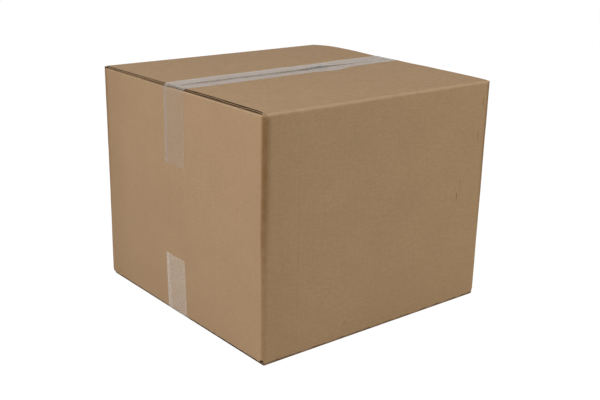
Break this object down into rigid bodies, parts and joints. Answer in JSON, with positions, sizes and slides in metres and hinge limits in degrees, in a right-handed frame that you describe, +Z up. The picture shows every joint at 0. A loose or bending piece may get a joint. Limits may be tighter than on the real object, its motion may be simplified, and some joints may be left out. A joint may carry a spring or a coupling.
{
  "type": "corrugated folding box",
  "caption": "Slotted corrugated board carton, folded shut and sealed over its top and bottom seams with clear tape, for shipping or storing goods.",
  "frame": {"origin": "middle of the footprint, on the underside of the lower tape, which the box stands on", "axes": "+X along the seam between the outer flaps, +Y across it, +Z up"},
  "size_m": [0.4006, 0.391, 0.327],
  "materials": {
    "kraft_board": "matt brown kraft liner with faint fibres and washboard lines",
    "clear_tape": "thin hazy see-through film with fine lengthwise streaks"
  },
  "bodies": {
    "root": {"carton": "kraft_board", "top_tape": "clear_tape", "bottom_tape": "clear_tape"}
  },
  "joints": []
}
